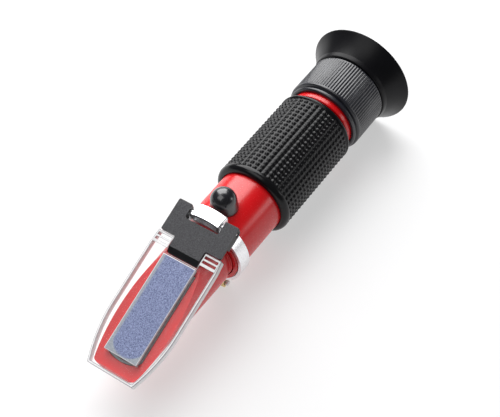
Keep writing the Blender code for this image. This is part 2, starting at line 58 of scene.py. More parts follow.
# Barrel
TUBE_R = 12.9
TUBE_BORE = 11.4
TUBE_FRONT = 24.0
TUBE_REAR = -48.0
INNER_R = 11.1
GRIP_R = 15.5
GRIP_REAR = -46.8
GRIP_FRONT = -3.1
GRIP_TAIL_R = 14.3
GRIP_GROOVE_R = 15.0
BEAD_R = 2.15
KNURL_REAR = -44.6
KNURL_ROWS = 20
KNURL_PITCH = 1.943
KNURL_AROUND = 44
KNURL_DEPTH = 0.62
KNURL_STEPS = 8
KNURL_RIDGE = 0.1
COLLAR_REAR = -52.4
COLLAR_FRONT = -40.0
COLLAR_R = 13.2
COLLAR_BORE = 9.6

# Sloped face, prism and cover
SLOPE = math.radians(20.5)
PIN_X = 21.6
PIN_Z = 15.2
PIN_R = 0.65
LUG_R = 1.65
FACE_W = -0.76
BOX_REAR = 27.0
BOX_TIP = 77.8
BOX_R = 11.6
BOX_TIP_R = 10.9
NECK_R = 10.4
LIGHT_BORE = 9.2
LIGHT_FRONT = 42.0
THROAT_REAR = 30.0
THROAT_R = 6.2
PRISM_REAR = 20.5
PRISM_FRONT = 55.2
PRISM_HALF = 6.1
PRISM_NOSE = 2.4
PRISM_FLOOR = -6.8
SPIGOT_REAR = 16.5
SEAL_WIDTH = 0.85
SEAL_DEPTH = 1.05
PLATE_FRONT = (80.0 - PIN_X - 1.0 * math.sin(SLOPE)) / math.cos(SLOPE)
PLATE_HALF = 13.8
PLATE_TAPER_START = 40.0
PLATE_TAPER = 4.3
PLATE_WALL = 0.9
SHEET_LOW = 0.25
SHEET_TOP = 1.0
FLANGE_LOW = -1.6
PAD_REAR = 17.4
PAD_FRONT = 55.2
PAD_HALF = 6.8
PAD_LOW = -0.48
PAD_TOP = 1.25
SPECKLE_U = 49.9
SPECKLE_V = 0.6
SPECKLE_NOSE = 4.9
SPECKLE_HALF = 6.3
EAR_REAR = 10.7
EAR_FRONT = 15.4
EAR_INNER = 6.7
EAR_TOP = 1.45
BLOCK_HALF = 12.5
BLOCK_REAR = -2.1
BLOCK_FRONT = 10.5
BLOCK_STEP = 6.2
BLOCK_UNDER = 0.3
TONGUE_HALF = 6.35
TONGUE_BEVEL = 14.4
TONGUE_FRONT = 16.6
NOTCH_HALF = 7.0
NOTCH_DEPTH = 3.25

# Clamp band
BAND_REAR = 18.2
BAND_FRONT = 23.4
BAND_IN = 13.2
BAND_OUT = 14.35
HUMP_HALF = 6.1
HUMP_R = 17.5
HUMP_WALL = 1.15
EAR_GAP = 1.2
EAR_OUT = 2.6
CLAMP_Z = -18.5
CLAMP_BORE_R = 1.25
CLAMP_SHANK_R = 1.0
CLAMP_HEAD_R = 2.1
CLAMP_REACH = 6.0
CROSS_LONG = 1.3
CROSS_WIDE = 0.3
NUT_R = 2.3
NUT_LOW = -4.9
NUT_TOP = -2.9
PIN_HALF = 12.2

# Calibration cap
SCREW_X = 12.0
BUSH_R = 3.0
CAP_R = 4.75
CAP_CENTRE_Z = 16.0
CAP_SKIRT_R = 5.1

# Eyepiece
RIBS = 86
RIB_DEPTH = 0.3
RIB_STEPS = 6
RIB_FRONT = -53.6
RIB_REAR = -69.0
FOCUS_R = 15.6
EYE_TUBE_R = 9.3
EYE_TUBE_BORE = 7.9
EYE_TUBE_REAR = -65.7
EYE_TUBE_FRONT = -42.0
EYE_STOP_R = 6.9
FOCUS_FRONT = -50.6
FOCUS_SKIRT_R = 13.5
FOCUS_NECK_R = 12.6
FOCUS_HOLE_R = 7.2
LENS_R = 7.6
LENS_STEPS = 14

FINE = 160
MEDIUM = 96


# ---------------------------------------------------------------- materials


def material(name):
    made = bpy.data.materials.new(name)
    made.use_nodes = True
    nodes = made.node_tree.nodes
    return made, nodes, made.node_tree.links, nodes["Principled BSDF"]


def noise(nodes, links, place, scale, detail=4.0, rough=0.55):
    tex = nodes.new("ShaderNodeTexNoise")
    tex.inputs["Scale"].default_value = scale
    tex.inputs["Detail"].default_value = detail
    tex.inputs["Roughness"].default_value = rough
    links.new(place, tex.inputs["Vector"])
    return tex.outputs["Fac"]


def ramp(nodes, links, factor, low, high, start=0.35, stop=0.65):
    made = nodes.new("ShaderNodeValToRGB")
    made.color_ramp.elements[0].position = start
    made.color_ramp.elements[0].color = (*low, 1.0)
    made.color_ramp.elements[1].position = stop
    made.color_ramp.elements[1].color = (*high, 1.0)
    links.new(factor, made.inputs["Fac"])
    return made.outputs["Color"]


def spread(nodes, links, factor, low, high):
    made = nodes.new("ShaderNodeMapRange")
    made.inputs["From Min"].default_value = 0.3
    made.inputs["From Max"].default_value = 0.7
    made.inputs["To Min"].default_value = low
    made.inputs["To Max"].default_value = high
    links.new(factor, made.inputs["Value"])
    return made.outputs["Result"]


def finish_of(name, dark, light, rough, mottle, grain, bump, wear=0.06, **fixed):
    """A finish whose colour, roughness and fine relief vary over the surface.

    mottle and grain are noise scales per metre, bump is the relief in metres,
    and fixed holds shader inputs that are the same everywhere.
    """
    made, nodes, links, shader = material(name)
    place = nodes.new("ShaderNodeTexCoord").outputs["Object"]
    broad = noise(nodes, links, place, mottle, 5.0)
    fine = noise(nodes, links, place, grain, 3.0, 0.6)
    links.new(ramp(nodes, links, broad, dark, light), shader.inputs["Base Color"])
    links.new(spread(nodes, links, fine, rough - wear, rough + wear), shader.inputs["Roughness"])
    if bump:
        relief = nodes.new("ShaderNodeBump")
        relief.inputs["Strength"].default_value = 1.0
        relief.inputs["Distance"].default_value = bump
        links.new(fine, relief.inputs["Height"])
        links.new(relief.outputs["Normal"], shader.inputs["Normal"])
    for key, value in fixed.items():
        shader.inputs[key.replace("_", " ").title().replace("Ior", "IOR")].default_value = value
    return made


RED = finish_of("red_gloss", (0.62, 0.003, 0.006), (0.68, 0.004, 0.008), 0.26, 60, 2600, 0.0000008,
                wear=0.02, specular_ior_level=0.5, coat_weight=0.08, coat_roughness=0.15)
GRIP = finish_of("grip_rubber", (0.0035, 0.0035, 0.0045), (0.006, 0.006, 0.007), 0.2, 140, 5200, 0.000005,
                 wear=0.05, specular_ior_level=0.24)
CUP = finish_of("cup_rubber", (0.003, 0.003, 0.004), (0.005, 0.005, 0.0065), 0.33, 90, 6000, 0.0000025,
                wear=0.04, specular_ior_level=0.17)
CAP = finish_of("cap_rubber", (0.004, 0.004, 0.007), (0.008, 0.008, 0.012), 0.24, 160, 3500, 0.0000015,
                wear=0.03, specular_ior_level=0.7, coat_weight=0.4, coat_roughness=0.2)
MOULDING = finish_of("ribbed_moulding", (0.006, 0.0065, 0.011), (0.011, 0.012, 0.019), 0.3, 150, 7000,
                     0.000005, wear=0.06, specular_ior_level=0.75)
BLOCK = finish_of("grained_moulding", (0.012, 0.012, 0.015), (0.062, 0.062, 0.069), 0.5, 2600, 5200,
                  0.00004, wear=0.1, specular_ior_level=0.4)
# The hinge block's sides are a smoother moulding, and their darker colour is painted shade for faces
# turned from the light
BLOCK_SHADED_SIDE = finish_of("smooth_moulding_painted_shade", (0.004, 0.004, 0.005), (0.007, 0.007, 0.009), 0.35, 400, 5200,
                       0.000006, wear=0.05, specular_ior_level=0.3)
STEEL = finish_of("plated_steel", (0.86, 0.86, 0.88), (0.93, 0.93, 0.95), 0.3, 80, 3800, 0.000002,
                  wear=0.07, metallic=0.85)
PLAIN_STEEL = finish_of("turned_steel", (0.55, 0.55, 0.57), (0.66, 0.66, 0.68), 0.32, 300, 5200, 0.000003,
                        metallic=1.0)
BRASS = finish_of("turned_brass", (0.70, 0.52, 0.22), (0.82, 0.64, 0.30), 0.28, 260, 4800, 0.000003,
                  metallic=1.0)
BLACK_ALUMINIUM = finish_of("black_anodised", (0.012, 0.012, 0.014), (0.02, 0.02, 0.023), 0.42, 220, 5200,
                            0.000003, metallic=0.3)
BIMETAL = finish_of("two_metal_strip", (0.60, 0.48, 0.34), (0.68, 0.60, 0.50), 0.34, 320, 5200, 0.000003,
                    metallic=1.0)
SEALANT = finish_of("sealant", (0.30, 0.33, 0.34), (0.42, 0.45, 0.46), 0.6, 700, 2600, 0.00002)


def clear(name, tint, rough, ior):
    """A refracting, transparent finish with faint scuffs."""
    made, nodes, links, shader = material(name)
    place = nodes.new("ShaderNodeTexCoord").outputs["Object"]
    scuffs = noise(nodes, links, place, 900, 6.0, 0.7)
    links.new(spread(nodes, links, scuffs, rough * 0.5, rough * 1.5), shader.inputs["Roughness"])
    broad = noise(nodes, links, place, 120)
    light = tuple(min(1.0, c * 1.02) for c in tint)
    links.new(ramp(nodes, links, broad, tint, light), shader.inputs["Base Color"])
    shader.inputs["Transmission Weight"].default_value = 1.0
    shader.inputs["IOR"].default_value = ior
    return made


GLASS = clear("optical_glass_polish", (0.90, 0.95, 0.97), 0.02, 1.52)


def see_through(name, tint, rough, cover, wear):
    """Clear plastic that lets light straight through; cover is how much it veils."""
    made = finish_of(name, tint, tuple(min(1.0, c * 1.03) for c in tint), rough, 200, 3000, 0.0, wear=0.02)
    nodes, links = made.node_tree.nodes, made.node_tree.links
    place = nodes.new("ShaderNodeTexCoord").outputs["Object"]
    scuffs = noise(nodes, links, place, 420, 7.0, 0.7)
    veil = spread(nodes, links, scuffs, cover - wear, cover + wear)
    links.new(veil, nodes["Principled BSDF"].inputs["Alpha"])
    return made


ACRYLIC = see_through("acrylic_sheet", (0.90, 0.92, 0.93), 0.08, 0.022, 0.01)
# Whitish veil on the walls and edges of the clear plastic: painted reflection where light catches those
# edges
ACRYLIC_WALL_REFLECTION = see_through("acrylic_wall_painted_reflection", (0.93, 0.94, 0.95), 0.2, 0.66, 0.06)
# Dark grey veil on the bevels of the clear plastic: painted shade where refraction darkens the edges
ACRYLIC_EDGE_SHADE = see_through("acrylic_edge_painted_shade", (0.26, 0.28, 0.31), 0.2, 0.72, 0.06)
# Pale grey on the pad's bevelled edges: a painted highlight where light catches the edge
PAD_EDGE_HIGHLIGHT = finish_of("pad_edge_painted_highlight", (0.74, 0.76, 0.79), (0.82, 0.84, 0.87), 0.3, 300, 3000, 0.0)
PAD_SIDE = finish_of("pad_side", (0.24, 0.26, 0.29), (0.32, 0.34, 0.38), 0.3, 900, 3000, 0.00001)


def frosted_pad():
    """The pad's frosted underside: blue-grey speckle over the prism, paler round it."""
    made, nodes, links, shader = material("frosted_pad")
    place = nodes.new("ShaderNodeTexCoord").outputs["Object"]
    speck = noise(nodes, links, place, 2300, 3.0, 0.8)
    blue = ramp(nodes, links, speck, (0.03, 0.05, 0.15), (0.32, 0.38, 0.63), 0.36, 0.68)
    grey = ramp(nodes, links, speck, (0.22, 0.25, 0.29), (0.38, 0.42, 0.46), 0.36, 0.66)
    slope = nodes.new("ShaderNodeMapping")
    slope.vector_type = "TEXTURE"
    slope.inputs["Location"].default_value = SLOPE_FRAME @ Vector((SPECKLE_U * MM, SPECKLE_V * MM, 0.0))
    slope.inputs["Rotation"].default_value = (0.0, SLOPE, 0.0)
    slope.inputs["Scale"].default_value = (SPECKLE_NOSE * MM, SPECKLE_HALF * MM, 1.0)
    links.new(place, slope.inputs["Vector"])
    parts = nodes.new("ShaderNodeSeparateXYZ")
    links.new(slope.outputs["Vector"], parts.inputs["Vector"])
    ahead = nodes.new("ShaderNodeMath")
    ahead.operation = "MAXIMUM"
    ahead.inputs[1].default_value = 0.0
    links.new(parts.outputs["X"], ahead.inputs[0])
    flat = nodes.new("ShaderNodeCombineXYZ")
    links.new(ahead.outputs["Value"], flat.inputs["X"])
    links.new(parts.outputs["Y"], flat.inputs["Y"])
    reach = nodes.new("ShaderNodeVectorMath")
    reach.operation = "LENGTH"
    links.new(flat.outputs["Vector"], reach.inputs[0])
    beyond = nodes.new("ShaderNodeMapRange")
    beyond.inputs["From Min"].default_value = 0.93
    beyond.inputs["From Max"].default_value = 1.02
    links.new(reach.outputs["Value"], beyond.inputs["Value"])
    mixed = nodes.new("ShaderNodeMixRGB")
    links.new(beyond.outputs["Result"], mixed.inputs["Fac"])
    links.new(blue, mixed.inputs["Color1"])
    links.new(grey, mixed.inputs["Color2"])
    links.new(mixed.outputs["Color"], shader.inputs["Base Color"])
    links.new(spread(nodes, links, speck, 0.35, 0.6), shader.inputs["Roughness"])
    relief = nodes.new("ShaderNodeBump")
    relief.inputs["Distance"].default_value = 0.00002
    links.new(speck, relief.inputs["Height"])
    links.new(relief.outputs["Normal"], shader.inputs["Normal"])
    shader.inputs["Coat Weight"].default_value = 0.3
    shader.inputs["Coat Roughness"].default_value = 0.08
    return made


# ----------------------------------------------------------------- modelling


def at(x, y, z):
    """A point from millimetres about the optical axis."""
    return Vector((x * MM, y * MM, (z + AXIS_HEIGHT) * MM))


AXIS_FRAME = Matrix.Translation(Vector((0.0, 0.0, AXIS_HEIGHT * MM)))
CROSS_FRAME = AXIS_FRAME @ Matrix(((0, 0, 1, 0), (1, 0, 0, 0), (0, 1, 0, 0), (0, 0, 0, 1)))
SIDE_FRAME = AXIS_FRAME @ Matrix(((1, 0, 0, 0), (0, 0, -1, 0), (0, 1, 0, 0), (0, 0, 0, 1)))
HINGE = Matrix.Translation(at(PIN_X, 0.0, PIN_Z))
SLOPE_FRAME = HINGE @ Matrix.Rotation(SLOPE, 4, "Y")
SLOPE_SIDE = SLOPE_FRAME @ Matrix(((1, 0, 0, 0), (0, 0, -1, 0), (0, 1, 0, 0), (0, 0, 0, 1)))
PAD = frosted_pad()
# A lathe turns about its own Z; this lays that axis along the optical axis
ALONG_X = AXIS_FRAME @ Matrix(((0, 0, 1, 0), (0, 1, 0, 0), (-1, 0, 0, 0), (0, 0, 0, 1)))


def rounded(points, radius, steps=4, closed=True, skip=()):
    """Give each corner of a flat outline a small round."""
    out = []
    count = len(points)
    for i, point in enumerate(points):
        here = Vector(point)
        if i in skip or (not closed and i in (0, count - 1)):
            out.append(here)
            continue
        back = Vector(points[i - 1]) - here
        ahead = Vector(points[(i + 1) % count]) - here
        bend = math.pi - back.angle(ahead)
        if bend < math.radians(12):
            out.append(here)
            continue
        cut = min(radius * math.tan(bend / 2), 0.45 * back.length, 0.45 * ahead.length)
        start = here + back.normalized() * cut
        end = here + ahead.normalized() * cut
        for k in range(steps + 1):
            t = k / steps
            out.append(start * (1 - t) ** 2 + here * (2 * t * (1 - t)) + end * t * t)
    return [tuple(p) for p in out]


def arc(centre, radius, start, end, steps):
    points = []
    for i in range(steps + 1):
        angle = math.radians(start + (end - start) * i / steps)
        points.append((centre[0] + radius * math.cos(angle), centre[1] + radius * math.sin(angle)))
    return points


def rectangle(a0, a1, b0, b1):
    return [(a0, b0), (a1, b0), (a1, b1), (a0, b1)]


def link(name, mesh, finishes=()):
    obj = bpy.data.objects.new(name, mesh)
    bpy.context.scene.collection.objects.link(obj)
    for finish in finishes:
        mesh.materials.append(finish)
    return obj


def shade(obj, angle=40):
    obj.data.shade_smooth()
    obj.data.set_sharp_from_angle(angle=math.radians(angle))


def lathe(name, profile, place=ALONG_X, sides=FINE, finishes=(), shape=None):
    """Revolve (height, radius) points; a profile ending on radius 0 is a solid.

    shape(height, radius, turn) may move the radius at each point round it.
    """
    work = bmesh.new()
    rings = []
    for height, radius in profile:
        if radius < 1e-6:
            rings.append([work.verts.new(place @ Vector((0, 0, height * MM)))])
            continue
        ring = []
        for k in range(sides):
            turn = 2 * math.pi * k / sides
            r = shape(height, radius, turn) if shape else radius
            point = Vector((r * MM * math.cos(turn), r * MM * math.sin(turn), height * MM))
            ring.append(work.verts.new(place @ point))
        rings.append(ring)
    pairs = list(zip(rings, rings[1:]))
    if len(rings[0]) > 1 and len(rings[-1]) > 1:
        pairs.append((rings[-1], rings[0]))
    for first, second in pairs:
        for k in range(sides):
            n = (k + 1) % sides
            if len(first) == 1:
                work.faces.new((first[0], second[k], second[n]))
            elif len(second) == 1:
                work.faces.new((first[k], second[0], first[n]))
            else:
                work.faces.new((first[k], second[k], second[n], first[n]))
    bmesh.ops.recalc_face_normals(work, faces=work.faces)
    mesh = bpy.data.meshes.new(name)
    work.to_mesh(mesh)
    work.free()
    obj = link(name, mesh, finishes)
    shade(obj)
    return obj


def rod(name, radius, low, high, place, sides, finishes=()):
    """A plain round solid, mostly used to cut a hole."""
    return lathe(name, [(low, 0.0), (low, radius), (high, radius), (high, 0.0)], place, sides, finishes)


def slab(name, outline, low, high, place, finishes=()):
    """Extrude a flat (a, b) outline from low to high, placed by a frame."""
    work = bmesh.new()
    verts = [work.verts.new((a * MM, b * MM, low * MM)) for a, b in outline]
    grown = bmesh.ops.extrude_face_region(work, geom=[work.faces.new(verts)])
    moved = [item for item in grown["geom"] if isinstance(item, bmesh.types.BMVert)]
    bmesh.ops.translate(work, vec=(0.0, 0.0, (high - low) * MM), verts=moved)
    bmesh.ops.transform(work, matrix=place, verts=work.verts)
    bmesh.ops.recalc_face_normals(work, faces=work.faces)
    mesh = bpy.data.meshes.new(name)
    work.to_mesh(mesh)
    work.free()
    return link(name, mesh, finishes)


def carve(obj, cutter, operation="DIFFERENCE"):
    """Apply a boolean and drop the cutter."""
    cut = obj.modifiers.new("cut", "BOOLEAN")
    cut.operation = operation
    cut.solver = "EXACT"
    cut.object = cutter
    bpy.context.view_layer.update()
    shaped = obj.evaluated_get(bpy.context.evaluated_depsgraph_get())
    mesh = bpy.data.meshes.new_from_object(shaped)
    obj.modifiers.clear()
    old = obj.data
    obj.data = mesh
    bpy.data.meshes.remove(old)
    bpy.data.objects.remove(cutter)


def soften(obj, width, segments=3, angle=35, edge_finish=-1):
    """Round the edges of a cut shape, and shade it smoothly."""
    shade(obj, angle)
    bevel = obj.modifiers.new("edges", "BEVEL")
    bevel.width = width * MM
    bevel.segments = segments
    bevel.limit_method = "ANGLE"
    bevel.angle_limit = math.radians(angle)
    bevel.miter_outer = "MITER_ARC"
    bevel.material = edge_finish
    bevel.use_clamp_overlap = True
    normals = obj.modifiers.new("normals", "WEIGHTED_NORMAL")
    normals.keep_sharp = False
    normals.weight = 80


def finish_sides(obj, index, facing=0.9):
    """Give faces that do not lie flat on the slope another of the finishes."""
    up = SLOPE_FRAME.to_3x3() @ Vector((0.0, 0.0, 1.0))
    for face in obj.data.polygons:
        face.material_index = 0 if abs(face.normal.dot(up)) > facing else index


def mount(obj, body, slot, *nodes):
    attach(obj, body)
    if nodes:
        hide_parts(*nodes)
    return obj


def upright(x, y=0.0):
    return Matrix.Translation(at(x, y, 0.0))


def across(x, z):
    """A lathe place whose height runs along +Y."""
    turn = Matrix(((1, 0, 0, 0), (0, 0, 1, 0), (0, -1, 0, 0), (0, 0, 0, 1)))
    return Matrix.Translation(at(x, 0.0, z)) @ turn


# -------------------------------------------------------------------- barrel


def build_tube():
    profile = [(TUBE_REAR, TUBE_BORE), (TUBE_REAR, TUBE_R), (TUBE_FRONT, TUBE_R), (TUBE_FRONT, TUBE_BORE)]
    tube = lathe("tube_shell", rounded(profile, 0.25), finishes=[RED])
    carve(tube, rod("hole", BUSH_R + GAP, 8.0, 16.0, upright(SCREW_X), 48))
    shade(tube)
    mount(tube, "barrel", "red_anodised", "main_tube")

    shoulder = TUBE_REAR - GAP
    collar = [(COLLAR_REAR, COLLAR_BORE), (COLLAR_REAR, COLLAR_R), (shoulder, COLLAR_R)]
    collar += [(shoulder, INNER_R), (COLLAR_FRONT, INNER_R), (COLLAR_FRONT, COLLAR_BORE)]
    ring = lathe("rear_collar_ring", rounded(collar, 0.45), finishes=[RED])
    mount(ring, "barrel", "red_anodised", "rear_collar")


def build_grip():
    """Rubber sleeve with a moulded grid of raised points."""
    front = KNURL_REAR + KNURL_ROWS * KNURL_PITCH
    start = [(GRIP_REAR, TUBE_R + GAP), (GRIP_REAR, GRIP_TAIL_R)]
    start += arc((GRIP_REAR + 1.35, 14.25), 1.2, 175, 90, 6)
    start += [(KNURL_REAR - 0.55, 15.42), (KNURL_REAR - 0.3, 15.15)]
    rows = KNURL_ROWS * KNURL_STEPS
    body = [(KNURL_REAR + KNURL_PITCH * k / KNURL_STEPS, GRIP_R) for k in range(rows + 1)]
    bead = arc((GRIP_FRONT - BEAD_R, GRIP_R - BEAD_R), BEAD_R, 108, 0, 14)
    profile = start + body + [(front + 0.12, GRIP_GROOVE_R)] + bead + [(GRIP_FRONT, TUBE_R + GAP)]

    def relief(height, radius, turn):
        if radius != GRIP_R:
            return radius
        along = (height - KNURL_REAR) / KNURL_PITCH
        around = turn / (2 * math.pi) * KNURL_AROUND
        a = math.cos(math.pi * (along - 0.5)) ** 2
        b = math.cos(math.pi * around) ** 2
        ridge = KNURL_RIDGE * b + (1.0 - KNURL_RIDGE) * a * b
        return GRIP_R - KNURL_DEPTH * (1.0 - ridge)

    sleeve = lathe("grip_sleeve", profile, sides=KNURL_AROUND * KNURL_STEPS, finishes=[GRIP], shape=relief)
    shade(sleeve, 75)
    mount(sleeve, "barrel", "black_rubber", "rubber_grip")


def prism_outline(grow, steps=24):
    half = PRISM_HALF + grow
    nose = PRISM_NOSE + grow
    middle = PRISM_FRONT + grow - nose
    points = [(PRISM_REAR - grow, -half), (middle, -half)]
    for i in range(1, steps):
        angle = math.pi * (i / steps - 0.5)
        points.append((middle + nose * math.cos(angle), half * math.sin(angle)))
    return points + [(middle, half), (PRISM_REAR - grow, half)]


def prism_wedge(name, grow, top, finishes=()):
    body = slab(name, prism_outline(grow), -20.0, top, SLOPE_FRAME, finishes)
    rear_x = PIN_X + (PRISM_REAR - grow) * math.cos(SLOPE) + FACE_W * math.sin(SLOPE)
    keep = slab("keep", rectangle(rear_x, 90.0, -12.0, 12.0), PRISM_FLOOR - grow, 20.0, AXIS_FRAME)
    carve(body, keep, "INTERSECT")
    return body


def build_prism_box():
    body = [(BOX_TIP, 0.0), (BOX_TIP, BOX_TIP_R - 0.6), (BOX_TIP - 0.6, BOX_TIP_R)]
    body += [(BOX_REAR + 0.3, BOX_R), (BOX_REAR, BOX_R - 0.3), (BOX_REAR, NECK_R)]
    body += [(TUBE_FRONT + 0.4, NECK_R), (TUBE_FRONT + 0.4, INNER_R), (SPIGOT_REAR, INNER_R)]
    body += [(SPIGOT_REAR, LIGHT_BORE), (THROAT_REAR, LIGHT_BORE), (THROAT_REAR, THROAT_R)]
    body += [(LIGHT_FRONT, THROAT_R), (LIGHT_FRONT, 0.0)]
    housing = lathe("prism_housing", rounded(body, 0.5, closed=False), finishes=[RED])
    carve(housing, slab("slope_cut", rectangle(-10.0, 75.0, -20.0, 20.0), FACE_W, 40.0, SLOPE_FRAME))
    carve(housing, prism_wedge("pocket", FIT, 3.0))
    rim = prism_outline(SEAL_WIDTH + 2 * FIT)
    carve(housing, slab("rim", rim, FACE_W - SEAL_DEPTH - FIT, 3.0, SLOPE_FRAME))
    soften(housing, 0.14, 2)
    mount(housing, "barrel", "red_anodised", "prism_box")

    glass = prism_wedge("prism_glass", 0.0, FACE_W, [GLASS])
    soften(glass, 0.12, 2)
    mount(glass, "barrel", "optical_glass", "main_prism")

    seal_edge = prism_outline(SEAL_WIDTH + FIT)
    seal = slab("seal_bead", seal_edge, FACE_W - SEAL_DEPTH, FACE_W, SLOPE_FRAME, [SEALANT])
    carve(seal, slab("hole", prism_outline(FIT), -10.0, 10.0, SLOPE_FRAME))
    soften(seal, 0.18, 3)
    mount(seal, "barrel", "grey_sealant", "prism_seal")


def angle_at(radius, y, top=True):
    """The angle at which a circle about the axis reaches a distance y across."""
    z = math.sqrt(radius * radius - y * y)
    return math.degrees(math.atan2(z if top else -z, y))


def build_clamp():
    corner_y = HUMP_HALF - 0.8
    corner_z = math.sqrt(HUMP_R ** 2 - corner_y ** 2) - 0.8
    inside = [(EAR_GAP, -AXIS_HEIGHT)] + arc((0, 0), BAND_IN, angle_at(BAND_IN, EAR_GAP, False), 90, 70)
    outside = [(EAR_OUT, -AXIS_HEIGHT)]
    outside += arc((0, 0), BAND_OUT, angle_at(BAND_OUT, EAR_OUT, False), angle_at(BAND_OUT, HUMP_HALF), 60)
    outside += arc((corner_y, corner_z), 0.8, 0, 75, 8)
    outside += arc((0, 0), HUMP_R, angle_at(HUMP_R, corner_y - 0.1), 90, 16)
    outline = outside + [(-y, z) for y, z in outside[-2::-1]]
    outline += [(-y, z) for y, z in inside[:-1]] + inside[::-1]
    band = slab("band_strap", outline, BAND_REAR, BAND_FRONT, CROSS_FRAME, [STEEL])
    room_half = HUMP_HALF - HUMP_WALL
    roof = HUMP_R - HUMP_WALL
    room = arc((0, 0), BAND_OUT, 180 - angle_at(BAND_OUT, room_half), angle_at(BAND_OUT, room_half), 30)
    room += arc((0, 0), roof, angle_at(roof, room_half), 180 - angle_at(roof, room_half), 30)
    carve(band, slab("room", rounded(room, 0.4), BAND_REAR - 1.0, BAND_FRONT + 1.0, CROSS_FRAME))
    middle = (BAND_REAR + BAND_FRONT) / 2
    carve(band, rod("hole", PIN_R + 0.05, -BEYOND, BEYOND, across(PIN_X, PIN_Z), 32))
    carve(band, rod("hole", CLAMP_BORE_R, -CLAMP_REACH, CLAMP_REACH, across(middle, CLAMP_Z), 32))
    soften(band, 0.16, 3)
    mount(band, "barrel", "polished_steel", "clamp_band")

    screw = [(-CLAMP_REACH, 0.0), (-CLAMP_REACH, 1.4), (-5.5, 1.9), (-4.6, CLAMP_HEAD_R)]
    screw += [(-2.9, CLAMP_HEAD_R), (-2.9, CLAMP_SHANK_R), (CLAMP_REACH, CLAMP_SHANK_R)]
    screw += [(CLAMP_REACH, 0.0)]
    screw = rounded(screw, 0.25, 3, False)
    head = lathe("clamp_screw_turned", screw, across(middle, CLAMP_Z), 64, [PLAIN_STEEL])
    for long, wide in ((CROSS_LONG, CROSS_WIDE), (CROSS_WIDE, CROSS_LONG)):
        slot = rectangle(middle - long, middle + long, CLAMP_Z - wide, CLAMP_Z + wide)
        carve(head, slab("slot", slot, 5.0, 7.0, SIDE_FRAME))
    soften(head, 0.06, 2)
    mount(head, "barrel", "polished_steel", "clamp_screw")

    hexagon = arc((middle, CLAMP_Z), NUT_R, 0, 300, 5)
    nut = slab("clamp_nut_hex", hexagon, NUT_LOW, NUT_TOP, SIDE_FRAME, [BRASS])
    carve(nut, rod("bore", CLAMP_BORE_R, -8.0, 8.0, across(middle, CLAMP_Z), 32))
    soften(nut, 0.18, 3, 30)
    mount(nut, "barrel", "brass", "clamp_nut")

    pin = [(-PIN_HALF, 0.0), (-PIN_HALF, PIN_R), (PIN_HALF, PIN_R), (PIN_HALF, 0.0)]
    pin = rounded(pin, 0.2, 4, False)
    pin = lathe("hinge_pin_turned", pin, across(PIN_X, PIN_Z), 48, [STEEL])
    mount(pin, "barrel", "polished_steel", "hinge_pin")


# --------------------------------------------------------------------- cover


def wall_strip(name, outer, inner, low, high, place, finishes):
    """An open wall of even thickness between two flat paths with as many points."""
    work = bmesh.new()
    rows = []
    for (a0, b0), (a1, b1) in zip(outer, inner):
        corners = ((a0, b0, low), (a0, b0, high), (a1, b1, high), (a1, b1, low))
        rows.append([work.verts.new(place @ (Vector(corner) * MM)) for corner in corners])
    for here, ahead in zip(rows, rows[1:]):
        for k in range(4):
            work.faces.new((here[k], here[(k + 1) % 4], ahead[(k + 1) % 4], ahead[k]))
    work.faces.new(rows[0])
    work.faces.new(rows[-1])
    bmesh.ops.recalc_face_normals(work, faces=work.faces)
    mesh = bpy.data.meshes.new(name)
    work.to_mesh(mesh)
    work.free()
    return link(name, mesh, finishes)


def plate_outline(inset, rear, steps=28, closed=True):
    front = PLATE_FRONT - inset
    points = []
    for i in range(steps + 1):
        u = PLATE_TAPER_START + (front - PLATE_TAPER_START) * i / steps
        draw = ((u - PLATE_TAPER_START) / (PLATE_FRONT - PLATE_TAPER_START)) ** 2
        points.append((u, PLATE_HALF - inset - PLATE_TAPER * draw))
    half = [(rear, PLATE_HALF - inset - 0.5), (rear + 5.0, PLATE_HALF - inset)] + points
    return rounded(half + [(u, -v) for u, v in half[::-1]], 0.8, closed=closed)


